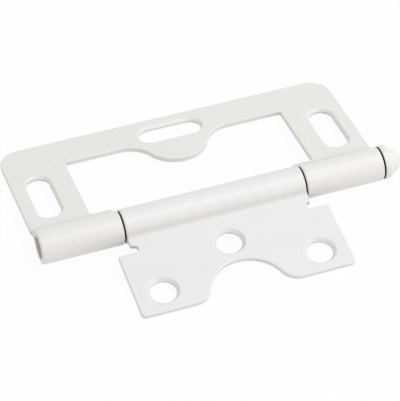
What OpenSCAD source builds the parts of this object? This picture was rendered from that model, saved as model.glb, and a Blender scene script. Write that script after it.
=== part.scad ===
// Flush hinge with an outer frame leaf, an inner leaf that folds into its window, and a pin.
// Sizes in mm. The pin lies along X with its head at +X, and the origin is at mid-barrel.
// The hinge lies open on a table, on its barrel and on the free edges of both leaves.

/* [Barrel] */
// Length of the barrel, over the two end knuckles
barrel_len = 76.2; // [64:0.1:90]
// Length of the middle knuckle
middle_len = 40.1; // [34:0.1:44]
// Free space between neighbouring knuckles
knuckle_gap = 0.3; // [0.2:0.05:0.6]
// Rounding of the knuckles' outer edges
knuckle_edge_r = 0.4; // [0.1:0.05:0.6]
// Free space at the seam, where a rolled edge comes back to its leaf
seam_gap = 0.1; // [0.05:0.05:0.3]

/* [Sheet] */
// Thickness of the steel sheet of both leaves
sheet_t = 1.2; // [1:0.05:1.4]
// Inside radius of the bend between the flat leaf and the roll
bend_r = 1.5; // [1:0.1:1.8]
// Radius of the stamped corners that look sharp
nick_r = 0.5; // [0.2:0.05:0.7]

/* [Pin] */
// Diameter of the pin, and so of the end knuckles that grip it
pin_d = 5; // [4.6:0.1:5.6]
// Radial clearance of the middle knuckle on the pin
running_gap = 0.05; // [0.02:0.01:0.1]
// Depth of the pin's plain end inside the barrel
pin_recess = 1; // [0.4:0.1:3]
// Bevel on the pin's plain end
pin_bevel = 0.4; // [0.1:0.1:0.8]
// Free space between the head and the barrel
head_gap = 0.25; // [0.1:0.05:0.6]
// Diameter of the head's collar
head_d = 7.4; // [6.8:0.1:8]
// Length of the head's straight collar
collar_len = 1.2; // [0.6:0.1:2]
// Slope of the head's cone against the pin
head_taper = 33.5; // [25:0.5:45]
// Radius of the head's nose
nose_r = 2.7; // [1.5:0.1:3.2]
// Rounding of the head's back edge
head_edge_r = 0.3; // [0.1:0.05:0.5]

/* [Outer leaf] */
// Width of the outer leaf along the pin
outer_w = 76.8; // [70:0.1:92]
// Radius of the two far corners
corner_r = 4.8; // [1:0.1:8]
// Width of the window
window_w = 50; // [48:0.1:54]
// Depth of the far rail between the window and the edge
rail_depth = 8.1; // [6:0.1:10]
// Distance of the window's near edge from the pin's axis, beside the barrel
window_near = 6; // [5.6:0.1:6.6]
// Reach of the tongue from the rail into the window
tongue_reach = 8.15; // [6:0.05:10]
// Radius of the tongue's nose
tongue_nose_r = 7.2; // [6:0.1:9]
// Radius of the hollows at the tongue's root
tongue_root_r = 6.5; // [4:0.1:8]

/* [Slots] */
// Width of a slot's throat
slot_w = 5.1; // [4.2:0.1:5.6]
// Length of a slot, over its round ends
slot_len = 14.1; // [10:0.1:16]
// Straight wall of a slot's throat, below the countersink
slot_land = 0.65; // [0.3:0.05:0.8]
// Shift of the end slots outwards from the middle of the side rails
end_slot_shift = 0.9; // [-1:0.1:1.2]
// Distance of the end slots' centres from the pin's axis
end_slot_y = 15.55; // [14:0.05:18]
// Distance of the middle slot's centre from the outer leaf's far edge
mid_slot_inset = 5.5; // [5:0.1:6]

/* [Inner leaf] */
// Depth of the inner leaf, from the pin's axis
inner_depth = 23.85; // [21:0.05:30]
// Free space at the sides of the inner leaf when it lies in the window
side_gap = 1.7; // [0.6:0.1:2]
// Free space beyond the inner leaf's far edge when it lies in the window
end_gap = 1.55; // [0.8:0.05:2.5]
// Free space between the tongue and the arch that takes it
arch_gap = 1.4; // [0.8:0.1:2.5]
// Extra radius of the arch over the tongue's nose
arch_ease = 1; // [0.6:0.1:2]
// Radius of the two lobes beside the arch
lobe_r = 4.2; // [3:0.1:5]
// Radius of the far corners
inner_corner_r = 1; // [0.2:0.1:3]
// Distance of the shoulders from the pin's axis
shoulder_y = 7.6; // [7.4:0.1:8.5]
// Width of the relief slit between a shoulder and the barrel
relief_w = 1.75; // [1.2:0.05:1.9]
// Distance that the relief slit reaches in under the middle knuckle
relief_reach = 1.15; // [1:0.05:2]

/* [Screw holes] */
// Diameter of a screw hole's throat
hole_d = 5.5; // [4:0.1:6]
// Straight wall of a hole's throat, below the countersink
hole_land = 0.5; // [0.2:0.05:0.8]
// Distance of the far holes from the inner leaf's side edges
far_hole_side = 6.15; // [4.5:0.05:7.5]
// Distance of the far holes from the inner leaf's far edge
far_hole_inset = 5.15; // [4.4:0.05:7]
// Shift of the middle hole outwards from halfway between the bend and the arch
mid_hole_shift = 0.4; // [-0.3:0.05:0.6]
// Included angle of the countersinks
sink_angle = 90; // [80:1:100]

/* [Hidden] */
$fn = 96;
paint = [0.93, 0.92, 0.9];
steel = [0.9, 0.9, 0.88];
cut = 1;
lap = 0.1;
hair = 0.002;
bend_margin = 5;
end_len = (barrel_len - middle_len) / 2 - knuckle_gap;
end_start = middle_len / 2 + knuckle_gap;
grip_r = pin_d / 2;
swivel_r = grip_r + running_gap;
table_drop = swivel_r + sheet_t;
half_t = sheet_t / 2;
bend_mean_r = bend_r + half_t;
window_far = inner_depth + end_gap;
outer_depth = window_far + rail_depth;
inner_w = window_w - 2 * side_gap;
end_slot_x = (outer_w + window_w) / 4 + end_slot_shift;
arch_reach = tongue_reach + arch_gap - end_gap;
mid_hole_y = (flat_start(swivel_r) + inner_depth - arch_reach) / 2 + mid_hole_shift;
outer_droop = droop(outer_depth);
inner_droop = droop(inner_depth);

// Angle at which a leaf of this depth hangs when its lower far edge touches the table.
function droop(depth) = asin(table_drop / norm([depth, half_t])) - atan2(half_t, depth);

// Distance from the pin's axis at which a leaf rolled on this bore becomes flat.
function flat_start(bore_r) = let (roll = bore_r + half_t) sqrt(roll * roll + 2 * roll * bend_mean_r);

// Angle below the leaf's plane at which the bend passes into the roll.
function join_angle(bore_r) = asin(bend_mean_r / (bore_r + half_t + bend_mean_r));

// Angle above the leaf's plane at which the rolled edge stops, just clear of the bend.
function seam_angle(bore_r) =
    let (outer_r = bore_r + sheet_t, reach = bore_r + half_t + bend_mean_r)
    let (stop_r = bend_mean_r + half_t + seam_gap)
    acos((pow(outer_r, 2) + pow(reach, 2) - pow(stop_r, 2)) / (2 * outer_r * reach)) - join_angle(bore_r);

// Rest of a square corner outside a circle: it trims a convex corner or fills a hollow one.
// It reaches over both sides of the corner, and its arc crosses the outline's edges by a hair
// where it would only touch them, so that no sliver is left there.
module corner(r, over = cut) {
    difference() {
        translate([-over, -over])
            square(r + over);
        translate([r, r])
            circle(r + hair);
    }
}

// Round nose of a given reach on the line y = 0, with a hollow fillet on each side.
// It starts a little behind the line, by over.
module bulge(reach, nose, root, over) {
    root_x = sqrt(pow(nose + root, 2) - pow(reach - nose - root, 2));
    difference() {
        polygon([[-root_x, -over], [root_x, -over], [root_x, root], [0, reach - nose], [-root_x, root]]);
        for (side = [-1, 1])
            translate([side * root_x, root])
                circle(root);
    }
    translate([0, reach - nose])
        circle(nose);
}

// Section of a knuckle in the YZ plane. The sheet leaves the flat leaf on the right, dips
// through a bend, and rolls under, round and over the bore until it meets the leaf again.
module knuckle_section(bore_r) {
    reach = bore_r + half_t + bend_mean_r;
    bend_outer_r = bend_mean_r + half_t;
    bend = [flat_start(bore_r), -bend_mean_r];
    join = join_angle(bore_r);
    seam = seam_angle(bore_r);
    difference() {
        union() {
            circle(bore_r + sheet_t);
            intersection() {
                translate(bend)
                    circle(bend_outer_r);
                polygon([[0, 0], bend, [bend.x, cut], [0, cut]]);
            }
        }
        circle(bore_r);
        translate(bend)
            circle(bend_r);
        difference() {
            polygon([[0, 0], 2 * reach * [cos(join), -sin(join)], 2 * reach * [cos(seam), sin(seam)]]);
            translate(bend)
                circle(bend_outer_r);
        }
    }
}

// Knuckle from x = start, with the outer edges of its roll rounded as far as the bend.
module knuckle(start, width, bore_r) {
    seam = seam_angle(bore_r);
    translate([start, 0, 0])
        rotate([90, 0, 90])
            difference() {
                linear_extrude(width)
                    knuckle_section(bore_r);
                rotate(seam / 2)
                    rotate_extrude(angle = 360 - join_angle(bore_r) - bend_margin - seam / 2)
                        for (end = [0, 1])
                            translate([bore_r + sheet_t, end * width])
                                mirror([0, end])
                                    mirror([1, 0])
                                        corner(knuckle_edge_r);
            }
}

// Flat sheet of a leaf, centred on the pin's axis in height.
module flat_sheet() {
    translate([0, 0, -half_t])
        linear_extrude(sheet_t)
            children();
}

// Countersunk hole drawn out along X by run, with its wide end at the top of the sheet.
module sunk_hole(d, land, run = 0) {
    sink = sheet_t - land + cut;
    wide_r = d / 2 + sink * tan(sink_angle / 2);
    translate([0, 0, -half_t]) {
        for (side = [-1, 1])
            translate([side * run / 2, 0, 0]) {
                translate([0, 0, -cut])
                    cylinder(h = sheet_t + cut, d = d);
                translate([0, 0, land])
                    cylinder(h = sink, r1 = d / 2, r2 = wide_r);
            }
        if (run > 0)
            rotate([90, 0, 90])
                translate([0, 0, -run / 2])
                    linear_extrude(run)
                        polygon([
                            [-d / 2, -cut], [d / 2, -cut], [d / 2, land], [wide_r, land + sink],
                            [-wide_r, land + sink], [-d / 2, land]
                        ]);
    }
}

// Outline of the outer leaf's flat sheet, with its window and the tongue in it.
module outer_outline() {
    near = flat_start(grip_r);
    difference() {
        translate([-outer_w / 2, near])
            square([outer_w, outer_depth - near]);
        for (side = [0, 1])
            mirror([side, 0])
                translate([outer_w / 2, outer_depth])
                    rotate(180)
                        corner(corner_r);
        translate([-window_w / 2, window_near])
            square([window_w, window_far - window_near]);
        translate([-end_start, near - cut])
            square([2 * end_start, window_near - near + 2 * cut]);
        for (side = [0, 1])
            mirror([side, 0]) {
                translate([end_start, window_near])
                    mirror([0, 1])
                        corner(nick_r);
                translate([barrel_len / 2, near - cut])
                    square([outer_w, cut + nick_r]);
            }
    }
    for (side = [0, 1])
        mirror([side, 0])
            for (far = [0, 1])
                translate([-window_w / 2, far ? window_far : window_near])
                    mirror([0, far])
                        corner(nick_r, lap);
    translate([0, window_far])
        mirror([0, 1])
            bulge(tongue_reach, tongue_nose_r, tongue_root_r, lap);
}

module outer_leaf() {
    color(paint)
        rotate([-outer_droop, 0, 0]) {
            difference() {
                flat_sheet()
                    outer_outline();
                for (side = [-1, 1])
                    translate([side * end_slot_x, end_slot_y, 0])
                        rotate([0, 0, 90])
                            sunk_hole(slot_w, slot_land, slot_len - slot_w);
                translate([0, outer_depth - mid_slot_inset, 0])
                    sunk_hole(slot_w, slot_land, slot_len - slot_w);
            }
            knuckle(end_start, end_len, grip_r);
            knuckle(-end_start - end_len, end_len, grip_r);
        }
}

// Outline of the inner leaf's flat sheet: neck, relief slits, shoulders and arch.
module inner_outline() {
    near = flat_start(swivel_r);
    neck_far = shoulder_y - relief_w;
    difference() {
        union() {
            translate([-inner_w / 2, shoulder_y])
                square([inner_w, inner_depth - shoulder_y]);
            translate([-middle_len / 2, near])
                square([middle_len, shoulder_y - near]);
        }
        for (side = [0, 1])
            mirror([side, 0]) {
                translate([inner_w / 2, inner_depth])
                    rotate(180)
                        corner(inner_corner_r);
                translate([inner_w / 2, shoulder_y])
                    mirror([1, 0])
                        corner(nick_r);
                translate([middle_len / 2, neck_far])
                    rotate(180)
                        corner(nick_r);
                translate([middle_len / 2 - relief_reach + relief_w / 2, shoulder_y - relief_w / 2]) {
                    circle(d = relief_w);
                    translate([0, -relief_w / 2])
                        square([relief_reach, relief_w]);
                }
            }
        translate([0, inner_depth])
            mirror([0, 1])
                bulge(arch_reach, tongue_nose_r + arch_ease, lobe_r, cut);
    }
}

module inner_leaf() {
    color(paint)
        rotate([180 + inner_droop, 0, 0]) {
            difference() {
                flat_sheet()
                    inner_outline();
                mirror([0, 0, 1]) {
                    for (side = [-1, 1])
                        translate([side * (inner_w / 2 - far_hole_side), inner_depth - far_hole_inset, 0])
                            sunk_hole(hole_d, hole_land);
                    translate([0, mid_hole_y, 0])
                        sunk_hole(hole_d, hole_land);
                }
            }
            knuckle(-middle_len / 2, middle_len, swivel_r);
        }
}

// Half outline of the pin: radius to the right, and height from the head's back face.
module pin_outline() {
    shank = barrel_len + head_gap - pin_recess;
    cone_end_r = nose_r * cos(head_taper);
    cone_end = collar_len + (head_d / 2 - cone_end_r) / tan(head_taper);
    difference() {
        translate([0, -shank])
            square([grip_r, shank + cut]);
        translate([grip_r, -shank])
            polygon([[0, 0], [0, pin_bevel], [-pin_bevel, 0]]);
    }
    difference() {
        polygon([[0, 0], [head_d / 2, 0], [head_d / 2, collar_len], [cone_end_r, cone_end], [0, cone_end]]);
        translate([head_d / 2, 0])
            mirror([1, 0])
                corner(head_edge_r);
    }
    intersection() {
        translate([0, cone_end - nose_r * sin(head_taper)])
            circle(nose_r);
        translate([0, cone_end - cut])
            square(nose_r + cut);
    }
}

module hinge_pin() {
    color(steel)
        translate([barrel_len / 2 + head_gap, 0, 0])
            rotate([0, 90, 0])
                rotate_extrude()
                    pin_outline();
}

outer_leaf();
inner_leaf();
hinge_pin();
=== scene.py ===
# %% [markdown]
# A flush hinge is three pieces of steel: an outer leaf with a window, an inner leaf that folds
# flat into that window, and a pin. Both leaves start as flat blanks that a press stamps out.
# A second press rolls the strips at the edge of each blank into knuckles, and the pin goes
# through them. This lesson makes the pieces the same way: a flat blank with soft stamped
# edges, then one formula that rolls it, then the powder coat.

import bpy
import numpy as np
from mathutils import Matrix, Vector
from mathutils.geometry import delaunay_2d_cdt


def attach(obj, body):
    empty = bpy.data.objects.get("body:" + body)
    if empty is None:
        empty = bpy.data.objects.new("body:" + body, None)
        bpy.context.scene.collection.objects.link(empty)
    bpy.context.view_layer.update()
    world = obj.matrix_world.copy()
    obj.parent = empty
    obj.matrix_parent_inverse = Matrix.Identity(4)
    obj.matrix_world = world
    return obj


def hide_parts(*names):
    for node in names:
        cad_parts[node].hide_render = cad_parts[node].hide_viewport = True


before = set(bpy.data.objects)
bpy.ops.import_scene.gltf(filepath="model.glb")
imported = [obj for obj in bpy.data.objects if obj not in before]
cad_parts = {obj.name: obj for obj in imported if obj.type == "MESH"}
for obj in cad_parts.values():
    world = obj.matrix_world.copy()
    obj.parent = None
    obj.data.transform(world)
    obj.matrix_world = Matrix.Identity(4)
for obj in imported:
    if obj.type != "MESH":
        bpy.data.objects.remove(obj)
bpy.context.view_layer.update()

MM = 0.001

# %% [markdown]
# The camera comes first, because every later decision is judged through it. The photograph
# was taken with a long lens from a little left of the middle, about 43 degrees above the
# table. A look-at camera is easy to aim, but the picture also leans by half a degree, so the
# three axes of the camera are written out and put into its matrix.

# %% Camera at the photograph's angle
photo_long_side = 401            # pixels
focal_pixels = 2067.99           # focal length, as a number of the photograph's pixels
sensor_side = 36.0               # mm, on the photograph's long side
azimuth, elevation, lean = np.radians([-18.9026, 43.2048, -0.6974])
aim = np.array([-1.977, 2.060, 0.0])   # mm, a point near the middle of the hinge
distance = 437.152                     # mm, from that point to the lens

back = np.array([np.sin(azimuth) * np.cos(elevation), -np.cos(azimuth) * np.cos(elevation), np.sin(elevation)])
level = np.array([np.cos(azimuth), np.sin(azimuth), 0.0])
upright = np.cross(back, level)
right = np.cos(lean) * level + np.sin(lean) * upright
up = np.cos(lean) * upright - np.sin(lean) * level

camera = bpy.data.objects.new("camera", bpy.data.cameras.new("camera"))
bpy.context.scene.collection.objects.link(camera)
camera.data.sensor_width = sensor_side
camera.data.lens = focal_pixels * sensor_side / photo_long_side
camera.data.clip_start, camera.data.clip_end = 0.01, 20.0
placed = np.eye(4)
placed[:3, :3] = np.column_stack([right, up, back])
placed[:3, 3] = (aim + distance * back) * MM
camera.matrix_world = Matrix(placed.tolist())
bpy.context.scene.camera = camera
print("lens in mm:", round(camera.data.lens, 1), "camera at:", np.round(placed[:3, 3], 3))

# %% [markdown]
# Every outline here is made of straight lines and round corners: the blank's edge, a slot, the
# section of a stamped edge and even the half section of the pin. So one function does them
# all. It takes a few sharp corners, each with a radius, and gives back points along the path
# with the direction that faces out of the steel at each one.

# %% Paths with rounded corners
arc_step = np.radians(6)         # largest turn between two points of an outline's arc
section_step = np.radians(18)    # the same on a section, whose arcs are tiny


def turned_right(v):
    """The direction a quarter turn to the right of v: (x, y) becomes (y, -x)."""
    return np.stack([v[..., 1], -v[..., 0]], axis=-1)


def corner_arc(before, corner, after, r, step):
    """Points and outward directions of one rounded corner.
    The arc touches both lines at r * tan(turn / 2) from the corner. A point at angle a along it
    is centre + r * (cos a, sin a). The steel lies to the left of the path, so a left turn bulges
    out and a right turn is hollow."""
    arrive = (corner - before) / np.linalg.norm(corner - before)
    leave = (after - corner) / np.linalg.norm(after - corner)
    turn = np.arctan2(arrive[0] * leave[1] - arrive[1] * leave[0], arrive @ leave)
    steps = max(2, 2 * int(np.ceil(abs(turn) / step / 2)))
    swing = np.linspace(0, turn, steps + 1)
    start = corner - arrive * r * np.tan(abs(turn) / 2)
    out = turned_right(arrive)
    facing = np.stack([out[0] * np.cos(swing) - out[1] * np.sin(swing),
                       out[0] * np.sin(swing) + out[1] * np.cos(swing)], axis=1)
    side = np.sign(turn)
    return start - side * r * out + side * r * facing, facing


def rounded_path(corners, closed=True, step=arc_step):
    """Points and outward directions along a path of (x, y, radius) corners, steel on the left.
    An open path keeps its two ends as they are. Points that fall on each other are dropped."""
    xy = np.array([c[:2] for c in corners], float)
    before, after = np.roll(xy, 1, axis=0), np.roll(xy, -1, axis=0)
    inner = range(len(xy)) if closed else range(1, len(xy) - 1)
    arcs = [corner_arc(before[i], xy[i], after[i], corners[i][2], step) for i in inner]
    points, facing = (np.concatenate(part) for part in zip(*arcs))
    if not closed:
        points = np.vstack([xy[:1], points, xy[-1:]])
        facing = np.vstack([facing[:1], facing, facing[-1:]])
    apart = np.linalg.norm(points - np.roll(points, 1, axis=0), axis=1) > 1e-6
    return points[apart], facing[apart]


# %% [markdown]
# A blank is mirrored about the middle of the hinge, so only its right half is written down.
# The tongue of the outer leaf and the arch of the inner leaf are one kind of shape: a big
# round nose that runs into a smaller hollow on each side. As sharp corners that is a plain
# V with a radius at its tip and at each shoulder.

# %% Helpers for the blanks
def mirrored(half):
    """A whole outline from the corners of its right half: the left half runs back the other way."""
    return half + [(-x, y, r) for x, y, r in reversed(half) if x > 0]


def tongue_corners(line_y, reach, nose_r, root_r):
    """Right half of a nose that reaches down from the line y = line_y, as two rounded corners.
    With b the angle at which the line between the two arc centres dips, the flank is square to
    that line, and both corners lie where the flank meets the axis and the line."""
    dip = np.arcsin((nose_r + root_r - reach) / (nose_r + root_r))
    tip_y = line_y - reach + nose_r - nose_r / np.sin(dip)
    shoulder_x = (line_y - tip_y) * np.tan(dip)
    return [(0.0, tip_y, nose_r), (shoulder_x, line_y, root_r)]


def slot_outline(x, y, along_x, along_y):
    """A slot or a round hole with its centre at (x, y), run clockwise so that the steel is outside it."""
    r = min(along_x, along_y) / 2
    a, b = along_x / 2, along_y / 2
    return rounded_path([(x - a, y - b, r), (x - a, y + b, r), (x + a, y + b, r), (x + a, y - b, r)])


# %% [markdown]
# Now the rolling. The real strip bends down once, close to the flat leaf, and then runs all
# the way round the pin until its end comes back to the leaf. The formula below does it to
# every point at once. A point of the blank has a place across (u), a place along (v) and a
# height in the sheet (w). Past the line where the leaf stops being flat, v becomes a length
# along two arcs, and w stays square to the sheet. A solid bent by a modifier would squeeze
# the rounded edges, and this keeps them exact.

# %% Sizes of the sheet and the roll
sheet_t = 1.2                    # mm
half_t = sheet_t / 2
bend_r = 1.5                     # inside radius of the bend next to the flat leaf
bend_mean = bend_r + half_t
seam_gap = 0.1                   # free space where the rolled edge comes back
pin_d = 5.0
running_gap = 0.05               # of the middle knuckle on the pin
grip_r = pin_d / 2
swivel_r = grip_r + running_gap
table_drop = swivel_r + sheet_t  # the pin's axis above the table


class Roll:
    """The path of the sheet from the flat leaf round the pin, for one bore."""

    def __init__(self, bore_r):
        self.mean = bore_r + half_t
        reach = self.mean + bend_mean
        self.flat_start = np.sqrt(reach ** 2 - bend_mean ** 2)
        self.join = np.arcsin(bend_mean / reach)
        outer = bore_r + sheet_t
        stop = bend_mean + half_t + seam_gap
        self.seam = np.arccos((outer ** 2 + reach ** 2 - stop ** 2) / (2 * outer * reach)) - self.join
        self.bend_len = bend_mean * (np.pi / 2 - self.join)
        self.roll_len = self.mean * (2 * np.pi - self.join - self.seam)
        self.end = self.flat_start - self.bend_len - self.roll_len

    def section(self, v):
        """Centre line, direction along it and direction square to it, in the YZ plane, at v.
        On the bend the angle about its centre grows from 90 degrees by arc / bend_mean. On the
        roll the angle about the pin falls from the join by arc / mean."""
        past = self.flat_start - v
        bend = np.pi / 2 + np.clip(past, 0, self.bend_len) / bend_mean
        roll = -self.join - np.clip(past - self.bend_len, 0, None) / self.mean
        flat_line = np.stack([v, np.zeros_like(v)], axis=-1)
        bend_out = np.stack([np.cos(bend), np.sin(bend)], axis=-1)
        bend_line = np.array([self.flat_start, -bend_mean]) + bend_mean * bend_out
        roll_out = np.stack([np.cos(roll), np.sin(roll)], axis=-1)
        on_flat = (past <= 0)[..., None]
        on_roll = (past > self.bend_len)[..., None]
        line = np.where(on_flat, flat_line, np.where(on_roll, self.mean * roll_out, bend_line))
        square = np.where(on_roll, -roll_out, bend_out)
        return line, turned_right(square), square

    def form(self, uvw, facing):
        """Rolls points (u, v, w) and their facing directions up: place = centre line + w * square."""
        line, along, square = self.section(uvw[:, 1])
        yz = line + uvw[:, 2:] * square
        facing_yz = facing[:, 1:2] * along + facing[:, 2:] * square
        return np.column_stack([uvw[:, 0], yz]), np.column_stack([facing[:, 0], facing_yz])


outer_roll = Roll(grip_r)
inner_roll = Roll(swivel_r)
for name, roll in (("outer", outer_roll), ("inner", inner_roll)):
    print(name, "leaf: flat from", round(roll.flat_start, 2), "strip length", round(roll.flat_start - roll.end, 2))

# %% [markdown]
# A stamped and coated edge is never sharp: the punch draws the top edge round, and the paint
# softens what is left. So each edge is a small section, rounded above and below, that is
# carried along the outline. A screw hole has a longer section with the countersink in it.
# The knuckles' edges are rounder than the rest, so their section changes along the strip.

# %% Sections of the edges
edge_soft = 0.3                  # mm, rounding of a plain stamped edge
knuckle_soft = 0.4               # outside edge of a knuckle
knuckle_inside_soft = 0.15
sink_rim_soft = 0.35             # rounding where a countersink meets the face
land_soft = 0.2
sink_slope = np.tan(np.radians(90) / 2)


def plain_section(lower_r, upper_r):
    """Section of a plain edge, from below to above: (outward, height) points and directions."""
    return rounded_path([(-lower_r, -half_t, 0), (0, -half_t, lower_r), (0, half_t, upper_r),
                         (-upper_r, half_t, 0)], closed=False, step=section_step)


def sunk_section(land, wide_end):
    """Section of a countersunk edge. wide_end is 1 if the wide end is above and -1 if below.
    The cone leaves the straight land at 45 degrees and widens by (sheet - land) * slope."""
    wide = (sheet_t - land) * sink_slope
    start, end = -edge_soft, -wide - 2 * sink_rim_soft
    path = [(start, -half_t, 0), (0, -half_t, edge_soft), (0, land - half_t, land_soft),
            (-wide, half_t, sink_rim_soft), (end, half_t, 0)]
    if wide_end < 0:
        path = [(x, -y, r) for x, y, r in reversed(path)]
    return rounded_path(path, closed=False, step=section_step)


# %% [markdown]
# The rims and the two flat faces of a blank share their border points, so the finished leaf is
# one closed skin. The faces are filled by a constrained triangulation, which keeps the
# holes open. On the strips that will be rolled it also gets a line straight across at every
# few degrees of the roll, so that the folds fall there and the knuckle comes out round.

# %% From outlines to a closed skin
row_step = np.radians(4)         # turn of the roll between two rows


def with_rows(points, facing, levels):
    """Adds a point wherever a straight side of a strip crosses one of the levels of v."""
    ahead = np.roll(points, -1, axis=0)
    crosses = (points[:, 1, None] - levels) * (ahead[:, 1, None] - levels) < -1e-12
    side, level = np.nonzero(crosses)
    rise = ahead[side, 1] - points[side, 1]
    share = (levels[level] - points[side, 1]) / rise
    added = points[side] + share[:, None] * (ahead[side] - points[side])
    order = np.argsort(np.concatenate([np.arange(len(points)), side + share]), kind="stable")
    return np.vstack([points, added])[order], np.vstack([facing, facing[side]])[order]


def face_triangles(loops, levels):
    """Triangles that fill the steel's face, as rows of indices into all loops. The outline runs
    counter-clockwise and the holes run clockwise, so steel is what lies to the left of every loop."""
    flat = np.concatenate(loops)
    starts = np.cumsum([0] + [len(loop) for loop in loops])
    rings = [list(range(a, b)) for a, b in zip(starts[:-1], starts[1:])]
    rim = loops[0]
    at, row = np.nonzero(np.abs(rim[:, 1, None] - levels) < 1e-6)
    order = np.lexsort([rim[at, 0], row])
    across = at[order].reshape(-1, 2).tolist()
    filled = delaunay_2d_cdt([Vector(p) for p in flat], across, rings, 1, 1e-7, True)
    first = np.array([ids[0] for ids in filled[3]])
    inside = [i for i, left_of in enumerate(filled[5]) if len(left_of) == len(loops)]
    return first[np.array(filled[2])[inside]]


def stamped_skin(edges, levels):
    """Closed skin of a blank. Each edge is (points, facing, section(s), blend): a section carried
    along an outline. Gives (u, v, w) points, facing directions, how much each point belongs to
    an edge, and the faces."""
    parts, outward, on_edge, quads, lower, upper = [], [], [], [], [], []
    count = 0
    for points, facing, (narrow, wide), blend in edges:
        section = narrow[0] + blend[:, None, None] * (wide[0] - narrow[0])
        place = points[:, None] + facing[:, None] * section[..., :1]
        parts.append(np.dstack([place, section[..., 1]]).reshape(-1, 3))
        across = narrow[1][None, :, :1] * facing[:, None]
        height = np.broadcast_to(narrow[1][None, :, 1:], across.shape[:2] + (1,))
        outward.append(np.dstack([across, height]).reshape(-1, 3))
        on_edge.append(np.broadcast_to(1 - np.abs(narrow[1][:, 1]), across.shape[:2]).ravel())
        grid = count + np.arange(len(points) * len(narrow[0])).reshape(len(points), -1)
        ahead = np.roll(grid, -1, axis=0)
        quads.append(np.dstack([grid[:, :-1], ahead[:, :-1], ahead[:, 1:], grid[:, 1:]]).reshape(-1, 4))
        lower.append(grid[:, 0])
        upper.append(grid[:, -1])
        count += grid.size
    uvw = np.concatenate(parts)
    tris = []
    for rings, flip in ((lower, -1), (upper, 1)):
        found = face_triangles([uvw[ring, :2] for ring in rings], levels)
        tris.append(np.concatenate(rings)[found][:, ::flip])
    return uvw, np.concatenate(outward), np.concatenate(on_edge), np.concatenate(quads), np.concatenate(tris)


# %% [markdown]
# The last helper puts arrays into a Blender mesh. It hands over the exact facing directions
# as custom normals, so that flat faces stay flat and arcs shade round with few faces.

# %% From arrays to a piece
def turned_about_pin(points, angle):
    """Turns points about the X axis: y' = y cos a - z sin a, z' = y sin a + z cos a."""
    c, s = np.cos(angle), np.sin(angle)
    return np.column_stack([points[:, 0], points[:, 1] * c - points[:, 2] * s, points[:, 1] * s + points[:, 2] * c])


def make_piece(name, points, facing, quads, tris, amounts=None):
    """A mesh object at the origin from points in mm, with smooth shading from the facing directions.
    amounts is a dictionary of named values, one for each point, that a material can read."""
    mesh = bpy.data.meshes.new(name)
    mesh.from_pydata(points * MM, [], quads.tolist() + tris.tolist())
    mesh.polygons.foreach_set("use_smooth", np.ones(len(mesh.polygons), bool))
    for label, values in (amounts or {}).items():
        mesh.attributes.new(label, "FLOAT", "POINT").data.foreach_set("value", values.astype(np.float32))
    mesh.validate()
    mesh.normals_split_custom_set_from_vertices(facing)
    piece = bpy.data.objects.new(name, mesh)
    bpy.context.scene.collection.objects.link(piece)
    print(name, "box in mm:", np.round(points.min(0), 2), np.round(points.max(0), 2), "faces", len(mesh.polygons))
    return piece


def droop(depth):
    """Angle at which a leaf of this depth hangs when its lower far edge touches the table."""
    return np.arcsin(table_drop / np.hypot(depth, half_t)) - np.arctan2(half_t, depth)


# %% [markdown]
# The outer leaf is a wide frame. Two short strips at its near edge become the end knuckles,
# the window between them takes the inner leaf, and a round tongue with a slot in it reaches
# into the window. The three slots are countersunk from above. Its blank is one outline, run
# from the tip of the tongue round the window, the right knuckle and the far corner.

# %% Outer leaf
barrel_len, middle_len, knuckle_gap = 76.2, 40.1, 0.3
outer_w, corner_r = 76.8, 4.8
window_w, window_near, rail_depth = 50.0, 6.0, 8.1
inner_depth, end_gap = 23.85, 1.55   # of the leaf that lies in the window, and the space beyond it
window_far = inner_depth + end_gap
outer_depth = window_far + rail_depth
tongue_reach, tongue_nose_r, tongue_root_r = 8.15, 7.2, 6.5
slot_w, slot_len, slot_land = 5.1, 14.1, 0.65
end_slot_x, end_slot_y = (outer_w + window_w) / 4 + 0.9, 15.55
mid_slot_y = outer_depth - 5.5
nick_r = 0.5                     # stamped corners that look sharp
flare_r = 0.35                   # where the leaf becomes a little wider than the barrel
knuckle_start = middle_len / 2 + knuckle_gap

near = outer_roll.flat_start
outer_half = tongue_corners(window_far, tongue_reach, tongue_nose_r, tongue_root_r) + [
    (window_w / 2, window_far, nick_r),
    (window_w / 2, window_near, nick_r),
    (knuckle_start, window_near, nick_r),
    (knuckle_start, outer_roll.end, nick_r),
    (barrel_len / 2, outer_roll.end, nick_r),
    (barrel_len / 2, near + 0.2, flare_r),
    (outer_w / 2, near + 0.5, flare_r),
    (outer_w / 2, outer_depth, corner_r),
]


def strip_levels(roll):
    """Levels of v for the rows of a strip, from the flat leaf to just before its rounded end."""
    start, end = roll.flat_start, roll.end + nick_r
    rows = int(np.ceil((start - end) / (roll.mean * row_step)))
    return np.linspace(start, end, rows + 1)[:-1]


def knuckle_share(roll, points):
    """0 on the flat leaf and 1 on the knuckle, smooth along the bend: 3 s^2 - 2 s^3."""
    s = np.clip((roll.flat_start - points[:, 1]) / roll.bend_len, 0, 1)
    return 3 * s ** 2 - 2 * s ** 3


def leaf_edges(half, roll, holes, hole_section):
    """The outline's edge and the edges of all holes of one leaf, with the levels of its rows."""
    levels = strip_levels(roll)
    points, facing = with_rows(*rounded_path(mirrored(half)), levels)
    sections = plain_section(edge_soft, edge_soft), plain_section(knuckle_soft, knuckle_inside_soft)
    edges = [(points, facing, sections, knuckle_share(roll, points))]
    edges += [(*hole, (hole_section, hole_section), np.zeros(len(hole[0]))) for hole in holes]
    return edges, levels


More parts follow.
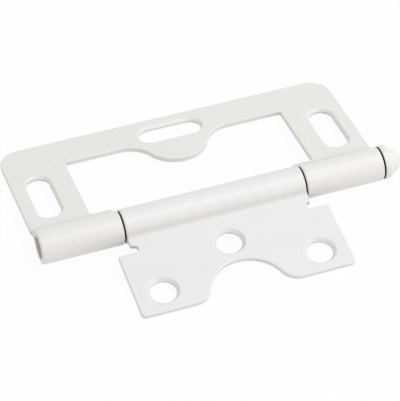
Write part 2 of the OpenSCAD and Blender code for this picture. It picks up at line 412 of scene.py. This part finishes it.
def in_gap(blank, roll, walls):
    """1 on the knuckle walls that face a gap and 0 elsewhere. Each wall is (its u, the direction in u
    that goes into the steel), and the rolled edge at the seam is one more. With d the distance into
    the steel, the value is 1 on the wall and falls to 0 at 0.05 mm, on the rounded edge."""
    on_roll = blank[:, 1] < roll.flat_start - roll.bend_len / 2
    depths = [into * (blank[:, 0] - wall_u) for wall_u, into in walls] + [blank[:, 1] - roll.end]
    return on_roll * np.max([(d > -0.01) * np.clip((0.05 - d) / 0.05, 0, 1) for d in depths], axis=0)


slots = [slot_outline(side * end_slot_x, end_slot_y, slot_w, slot_len) for side in (-1, 1)]
slots.append(slot_outline(0, mid_slot_y, slot_len, slot_w))
blank, facing, on_edge, quads, tris = stamped_skin(*leaf_edges(outer_half, outer_roll, slots, sunk_section(slot_land, 1)))
points, facing = outer_roll.form(blank, facing)
outer_turn = -droop(outer_depth)
outer_walls = [(knuckle_start, 1), (-knuckle_start, -1), (barrel_len / 2, -1)]   # the last one faces the head
outer_sheet = make_piece("outer_sheet", turned_about_pin(points, outer_turn), turned_about_pin(facing, outer_turn),
                         quads, tris, {"on_edge": on_edge, "in_gap": in_gap(blank, outer_roll, outer_walls)})
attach(outer_sheet, "frame_side")
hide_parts("outer_leaf")

# %% [markdown]
# The inner leaf is the same kind of stamping, made to lie inside the window when the hinge is
# shut. An arch at its far edge clears the tongue, and a slit beside each shoulder keeps the
# bend of the knuckle from tearing the sheet. The slits reach in 1.4 mm, the mean of the two in
# the photograph, which is 0.25 mm more than in the frame. The screw holes are sunk from the
# other face, because the leaf is turned over when the hinge lies open.

# %% Inner leaf
side_gap, arch_gap, arch_ease = 1.7, 1.4, 1.0
lobe_r, inner_corner_r = 4.2, 1.0
shoulder_y, relief_w, relief_reach = 7.6, 1.75, 1.4
hole_d, hole_land = 5.5, 0.5
inner_w = window_w - 2 * side_gap
arch_reach = tongue_reach + arch_gap - end_gap
hole_x, far_hole_y = inner_w / 2 - 6.15, inner_depth - 5.15
mid_hole_y = (inner_roll.flat_start + inner_depth - arch_reach) / 2 + 0.4
slit_end = middle_len / 2 - relief_reach

arch = tongue_corners(inner_depth, arch_reach, tongue_nose_r + arch_ease, lobe_r)
inner_half = [
    (middle_len / 2, inner_roll.end, nick_r),
    (middle_len / 2, shoulder_y - relief_w, nick_r),
    (slit_end, shoulder_y - relief_w, relief_w / 2),
    (slit_end, shoulder_y, relief_w / 2),
    (inner_w / 2, shoulder_y, nick_r),
    (inner_w / 2, inner_depth, inner_corner_r),
] + arch[::-1]

holes = [slot_outline(side * hole_x, far_hole_y, hole_d, hole_d) for side in (-1, 1)]
holes.append(slot_outline(0, mid_hole_y, hole_d, hole_d))
blank, facing, on_edge, quads, tris = stamped_skin(*leaf_edges(inner_half, inner_roll, holes, sunk_section(hole_land, -1)))
points, facing = inner_roll.form(blank, facing)
inner_turn = np.pi + droop(inner_depth)
inner_walls = [(middle_len / 2, -1), (-middle_len / 2, 1)]
inner_sheet = make_piece("inner_sheet", turned_about_pin(points, inner_turn), turned_about_pin(facing, inner_turn),
                         quads, tris, {"on_edge": on_edge, "in_gap": in_gap(blank, inner_roll, inner_walls)})
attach(inner_sheet, "door_side")
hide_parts("inner_leaf")

# %% [markdown]
# The pin is turned on a lathe: a plain shank with a bevelled end, and a head with a short
# collar, a cone and a round nose. Its half section is one more rounded path, and a turn about
# the axis makes the surface. The end that sits inside the barrel is never reached by the
# powder, so it stays bare.

# %% Pin
pin_recess, pin_bevel, head_gap = 1.0, 0.4, 0.25
head_d, collar_len, nose_r = 7.4, 1.2, 2.7
head_taper = np.radians(33.5)    # slope of the cone against the pin
head_edge_r, collar_edge_r, bevel_soft, neck_r = 0.3, 0.35, 0.08, 0.1
turn_steps = 96

head_back = barrel_len / 2 + head_gap
plain_end = -barrel_len / 2 + pin_recess
cone_end = head_back + collar_len + (head_d / 2 - nose_r * np.cos(head_taper)) / np.tan(head_taper)
nose_tip = cone_end - nose_r * np.sin(head_taper) + nose_r
apex = head_back + collar_len + head_d / 2 / np.tan(head_taper)
half_section, outward = rounded_path([
    (apex, 0, 0), (head_back + collar_len, head_d / 2, collar_edge_r), (head_back, head_d / 2, head_edge_r),
    (head_back, grip_r, neck_r), (plain_end + pin_bevel, grip_r, bevel_soft),
    (plain_end, grip_r - pin_bevel, bevel_soft), (plain_end, 0, 0),
], closed=False)
swing = np.linspace(0, np.pi / 2 - head_taper, 13)
nose = np.column_stack([nose_tip - nose_r + nose_r * np.cos(swing), nose_r * np.sin(swing)])
nose_out = np.column_stack([np.cos(swing), np.sin(swing)])
half_section = np.vstack([nose, half_section[1:]])
outward = np.vstack([nose_out, outward[1:]])


def turned_skin(section, outward):
    """Turns a half section of (x, radius) points about X. A point at turn a is
    (x, radius * cos a, radius * sin a), and the first and last points are the closed poles."""
    a = np.linspace(0, 2 * np.pi, turn_steps, endpoint=False)
    ring = np.stack([np.ones_like(a), np.cos(a), np.sin(a)], axis=-1)
    body = section[1:-1, None, [0, 1, 1]] * ring
    body_out = outward[1:-1, None, [0, 1, 1]] * ring
    poles = section[[0, -1]][:, [0, 1, 1]] * [1, 0, 0]
    points = np.vstack([body.reshape(-1, 3), poles])
    facing = np.vstack([body_out.reshape(-1, 3), [[1, 0, 0], [-1, 0, 0]]])
    grid = np.arange(len(body) * turn_steps).reshape(len(body), turn_steps)
    ahead = np.roll(grid, -1, axis=1)
    quads = np.dstack([grid[:-1], grid[1:], ahead[1:], ahead[:-1]]).reshape(-1, 4)
    first = np.column_stack([np.full(turn_steps, grid.size), grid[0], ahead[0]])
    last = np.column_stack([np.full(turn_steps, grid.size + 1), ahead[-1], grid[-1]])
    return points, facing, quads, np.vstack([first, last])


turned_pin = make_piece("turned_pin", *turned_skin(half_section, outward))
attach(turned_pin, "frame_side")
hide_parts("hinge_pin")

# %% [markdown]
# White powder coat is a thick, half-glossy skin. It is a little mottled, it has a fine
# orange peel, and it is thinner and greyer on cut edges, where the powder flows away. In
# the creases where the leaves bend into the barrel it is darkened as painted shade. The outer leaf and the pin's
# head look a little warmer than the inner leaf. The walls in the gaps between the knuckles are bare steel that
# the powder doesn't reach, painted near black as the shade of the narrow gaps. Object coordinates give the
# mottling, the peel and the distance from the crease, and two values stored on each point of the sheet give the
# thinner coat on edges and the painted shade in the gaps.

# %% White powder coat
coat_white = (0.849, 0.843, 0.830, 1)
coat_warm = (0.849, 0.836, 0.814, 1)  # of the outer leaf and the pin
shade_share = 0.986                   # of the coat's colour, in the darker spots of the mottling
coat_edge = (0.780, 0.765, 0.748, 1)
# painted shade: darkens the crease beside the barrel and the bend of the inner leaf
painted_crease_shade = (0.66, 0.65, 0.64, 1)
painted_gap_shade = (0.020, 0.017, 0.015, 1)   # near black: painted shade of the narrow gaps, on uncoated steel where the powder can't reach


def new_material(name):
    """An empty node material with its shader and output, and a short way to add nodes and links."""
    material = bpy.data.materials.new(name)
    material.use_nodes = True
    nodes, links = material.node_tree.nodes, material.node_tree.links
    shader = next(n for n in nodes if n.type == "BSDF_PRINCIPLED")
    return material, nodes, links, shader


def noise(nodes, links, where, scale, detail):
    """A noise texture that reads the given coordinates. scale is in blobs per metre."""
    node = nodes.new("ShaderNodeTexNoise")
    node.inputs["Scale"].default_value = scale
    node.inputs["Detail"].default_value = detail
    links.new(where, node.inputs["Vector"])
    return node


def ranged(nodes, links, value, low, high, to_low, to_high):
    """Maps a value from low..high to to_low..to_high, held at both ends."""
    node = nodes.new("ShaderNodeMapRange")
    for socket, number in zip(("From Min", "From Max", "To Min", "To Max"), (low, high, to_low, to_high)):
        node.inputs[socket].default_value = number
    links.new(value, node.inputs["Value"])
    return node.outputs["Result"]


def blended(nodes, links, share, first, second):
    """A mix of two colours, each a socket or four numbers."""
    node = nodes.new("ShaderNodeMix")
    node.data_type = "RGBA"
    links.new(share, node.inputs["Factor"])
    for socket, colour in (("A", first), ("B", second)):
        target = next(s for s in node.inputs if s.name == socket and s.type == "RGBA")
        if isinstance(colour, tuple):
            target.default_value = colour
        else:
            links.new(colour, target)
    return next(s for s in node.outputs if s.type == "RGBA")


def crease_line(roll, turn, arc, radius):
    """(y, z) in mm of a point beside the bend of a leaf at rest. It lies at a share arc of the bend,
    at the radius from the bend's centre, which sits at (flat_start, -bend_mean)."""
    a = np.pi / 2 + arc * roll.bend_len / bend_mean
    beside = [[0, roll.flat_start + radius * np.cos(a), radius * np.sin(a) - bend_mean]]
    return turned_about_pin(np.array(beside), turn)[0, 1:]


def near_line(nodes, links, where, line, reach):
    """With d the distance from a line along X, the value is 1 - d / reach, and 0 beyond the reach in mm."""
    level = nodes.new("ShaderNodeVectorMath")
    level.operation = "MULTIPLY"
    level.inputs[1].default_value = (0, 1, 1)
    links.new(where, level.inputs[0])
    away = nodes.new("ShaderNodeVectorMath")
    away.operation = "DISTANCE"
    away.inputs[1].default_value = (0, line[0] * MM, line[1] * MM)
    links.new(level.outputs[0], away.inputs[0])
    return ranged(nodes, links, away.outputs["Value"], 0, reach * MM, 1, 0)


def powder_coat(name, tone, crease=None):
    """The white powder coat. On a leaf it is greyer on the edges, where it is thinner, which the piece stores for
    each point, and darkened in the crease as painted shade, given as (line, reach in mm, strength of the painted
    shade)."""
    material, nodes, links, shader = new_material(name)
    where = nodes.new("ShaderNodeTexCoord").outputs["Object"]
    mottle = noise(nodes, links, where, 180, 3).outputs["Fac"]
    shade = tuple(shade_share * part for part in tone[:3]) + (1,)
    colour = blended(nodes, links, ranged(nodes, links, mottle, 0.42, 0.72, 0, 1), tone, shade)
    if crease:
        line, reach, crease_shade_share = crease
        # painted shade along the crease, strongest on the line and gone at the reach
        fold = near_line(nodes, links, where, line, reach)
        colour = blended(nodes, links, ranged(nodes, links, fold, 0, 1, 0, crease_shade_share), colour, painted_crease_shade)
        edge = nodes.new("ShaderNodeAttribute")
        edge.attribute_name = "on_edge"
        colour = blended(nodes, links, ranged(nodes, links, edge.outputs["Fac"], 0.3, 1, 0, 0.5), colour, coat_edge)
        # walls in the gaps: painted near black as shade, over bare steel
        gap = nodes.new("ShaderNodeAttribute")
        gap.attribute_name = "in_gap"
        colour = blended(nodes, links, gap.outputs["Fac"], colour, painted_gap_shade)
    links.new(colour, shader.inputs["Base Color"])
    gloss = noise(nodes, links, where, 700, 2).outputs["Fac"]
    links.new(ranged(nodes, links, gloss, 0.3, 0.7, 0.27, 0.32), shader.inputs["Roughness"])
    shader.inputs["IOR"].default_value = 1.48
    shader.inputs["Specular IOR Level"].default_value = 0.4
    shader.inputs["Coat Weight"].default_value = 0.05
    shader.inputs["Coat Roughness"].default_value = 0.2
    peel = noise(nodes, links, where, 1400, 2)
    bump = nodes.new("ShaderNodeBump")
    bump.inputs["Strength"].default_value = 0.2
    bump.inputs["Distance"].default_value = 0.00004
    links.new(peel.outputs["Fac"], bump.inputs["Height"])
    links.new(bump.outputs["Normal"], shader.inputs["Normal"])
    return material


# painted shade in the creases: line beside the bend, reach in mm, strength
outer_crease_shade = crease_line(outer_roll, outer_turn, 0.2, bend_mean + half_t), 1.9, 0.9
inner_crease_shade = crease_line(inner_roll, inner_turn, 0.8, bend_r), 1.5, 0.5
outer_sheet.data.materials.append(powder_coat("outer_leaf_coat", coat_warm, outer_crease_shade))
inner_sheet.data.materials.append(powder_coat("inner_leaf_coat", coat_white, inner_crease_shade))
pin_coat = powder_coat("pin_powder_coat", coat_warm)
print("coated:", outer_sheet.name, inner_sheet.name)

# %% [markdown]
# The bare end of the pin is steel cut on a lathe. Rings about the pin's axis, made by a wave
# texture, are the tool's marks. The steel is much darker than bright steel, as painted shade for the pin seen in
# the narrow gaps and the recess. Only the faces inside the barrel and the back of the head, which the powder can't
# reach either, get this second material.

# %% Bare steel on the shank, darkened as painted shade
# much darker than bright steel: painted shade for the pin in the gaps and the recess
shaded_steel_tone = (0.15, 0.145, 0.14, 1)
shaded_steel_dull = (0.08, 0.075, 0.07, 1)


def turned_steel(name):
    """Steel with fine rings about the X axis, darker than bare steel as painted shade."""
    material, nodes, links, shader = new_material(name)
    where = nodes.new("ShaderNodeTexCoord").outputs["Object"]
    rings = nodes.new("ShaderNodeTexWave")
    rings.wave_type = "RINGS"
    rings.rings_direction = "X"
    rings.inputs["Scale"].default_value = 900
    rings.inputs["Distortion"].default_value = 0.6
    links.new(where, rings.inputs["Vector"])
    stain = noise(nodes, links, where, 600, 3).outputs["Fac"]
    colour = blended(nodes, links, ranged(nodes, links, stain, 0.35, 0.7, 0, 1), shaded_steel_tone, shaded_steel_dull)
    links.new(colour, shader.inputs["Base Color"])
    shader.inputs["Metallic"].default_value = 1.0
    links.new(ranged(nodes, links, stain, 0.3, 0.7, 0.38, 0.55), shader.inputs["Roughness"])
    bump = nodes.new("ShaderNodeBump")
    bump.inputs["Strength"].default_value = 0.4
    bump.inputs["Distance"].default_value = 0.00002
    links.new(rings.outputs["Fac"], bump.inputs["Height"])
    links.new(bump.outputs["Normal"], shader.inputs["Normal"])
    return material


turned_pin.data.materials.append(pin_coat)
turned_pin.data.materials.append(turned_steel("pin_shaded_steel"))
centres = np.empty(3 * len(turned_pin.data.polygons), np.float32)
turned_pin.data.polygons.foreach_get("center", centres)
bare = centres.reshape(-1, 3)[:, 0] < (head_back + 0.06) * MM
turned_pin.data.polygons.foreach_set("material_index", bare.astype(np.int32))
print("bare faces on the pin:", int(bare.sum()), "of", len(bare))

# %% [markdown]
# The photograph is a catalogue picture: white all round, with hardly any shade. A pale floor
# carries the hinge. For the camera and for reflections the floor and the world are lifted to
# white, and the light that falls on the hinge stays lower, so that the coat keeps its own grey.

# %% Floor and world
floor_size = 3.0                 # m
white = (1, 1, 1, 1)
floor_paint = (0.86, 0.86, 0.855, 1)
floor_lift = 0.95                # share of pure white in what the camera sees of the floor


def seen_directly(nodes):
    """1 for camera, mirror and glass rays, and 0 for the rays that light the object."""
    path = nodes.new("ShaderNodeLightPath")
    return path.outputs["Is Camera Ray"], path.outputs["Is Glossy Ray"], path.outputs["Is Transmission Ray"]


def largest(nodes, links, values):
    """The largest of several values."""
    result = values[0]
    for value in values[1:]:
        node = nodes.new("ShaderNodeMath")
        node.operation = "MAXIMUM"
        links.new(result, node.inputs[0])
        links.new(value, node.inputs[1])
        result = node.outputs[0]
    return result


floor_mesh = bpy.data.meshes.new("floor")
sides = np.array([[-1, -1], [1, -1], [1, 1], [-1, 1]]) * floor_size / 2
floor_mesh.from_pydata(np.column_stack([sides, np.full(4, -table_drop * MM)]), [], [[0, 1, 2, 3]])
floor = bpy.data.objects.new("floor", floor_mesh)
bpy.context.scene.collection.objects.link(floor)

floor_material, nodes, links, shader = new_material("floor_white")
shader.inputs["Base Color"].default_value = floor_paint
shader.inputs["Roughness"].default_value = 0.9
shader.inputs["Specular IOR Level"].default_value = 0.0
glow = nodes.new("ShaderNodeEmission")
glow.inputs["Color"].default_value = white
lift = nodes.new("ShaderNodeMixShader")
share = nodes.new("ShaderNodeMath")
share.operation = "MULTIPLY"
share.inputs[1].default_value = floor_lift
links.new(largest(nodes, links, seen_directly(nodes)), share.inputs[0])
links.new(share.outputs[0], lift.inputs["Fac"])
links.new(shader.outputs[0], lift.inputs[1])
links.new(glow.outputs[0], lift.inputs[2])
links.new(lift.outputs[0], next(n for n in nodes if n.type == "OUTPUT_MATERIAL").inputs["Surface"])
floor_mesh.materials.append(floor_material)

world = bpy.data.worlds.new("studio")
world.use_nodes = True
bpy.context.scene.world = world
nodes, links = world.node_tree.nodes, world.node_tree.links
nodes.clear()
room_light = 0.62                # strength of the light that the white room gives
soft = nodes.new("ShaderNodeBackground")
soft.inputs["Color"].default_value = white
soft.inputs["Strength"].default_value = room_light
bright = nodes.new("ShaderNodeBackground")
bright.inputs["Color"].default_value = white
bright.inputs["Strength"].default_value = 1.0
either = nodes.new("ShaderNodeMixShader")
links.new(largest(nodes, links, seen_directly(nodes)), either.inputs["Fac"])
links.new(soft.outputs[0], either.inputs[1])
links.new(bright.outputs[0], either.inputs[2])
links.new(either.outputs[0], nodes.new("ShaderNodeOutputWorld").inputs["Surface"])
print("floor at", round(-table_drop, 2), "mm")

# %% [markdown]
# Three soft panels shape the light, all from the front, so the barrel throws a thin soft shade
# on the leaf behind it. A large one hangs over the camera, a little to the right, and draws the
# faint pale line along the barrel. Two small low ones fill from the sides, and the left one is
# warm, as the left end of the hinge is in the photograph.

# %% Lights
def panel(name, place, wide, high, power, colour):
    """A soft light of wide by high metres at a place in metres, aimed at the hinge."""
    light = bpy.data.lights.new(name, "AREA")
    light.shape = "RECTANGLE"
    light.size, light.size_y = wide, high
    light.energy = power
    light.color = colour
    lamp = bpy.data.objects.new(name, light)
    lamp.location = place
    lamp.rotation_euler = (-Vector(place)).to_track_quat("-Z", "Y").to_euler()
    bpy.context.scene.collection.objects.link(lamp)
    return lamp


panel("key_panel", (0.42, -0.20, 0.86), 0.9, 0.7, 4.1, (0.97, 1.0, 1.0))
panel("left_fill", (-0.40, -0.36, 0.26), 0.30, 0.22, 0.11, (1.0, 0.24, 0.18))
panel("right_fill", (0.26, -0.21, 0.13), 0.20, 0.14, 0.12, (1.0, 0.92, 0.88))

scene = bpy.context.scene
scene.view_settings.view_transform = "Standard"
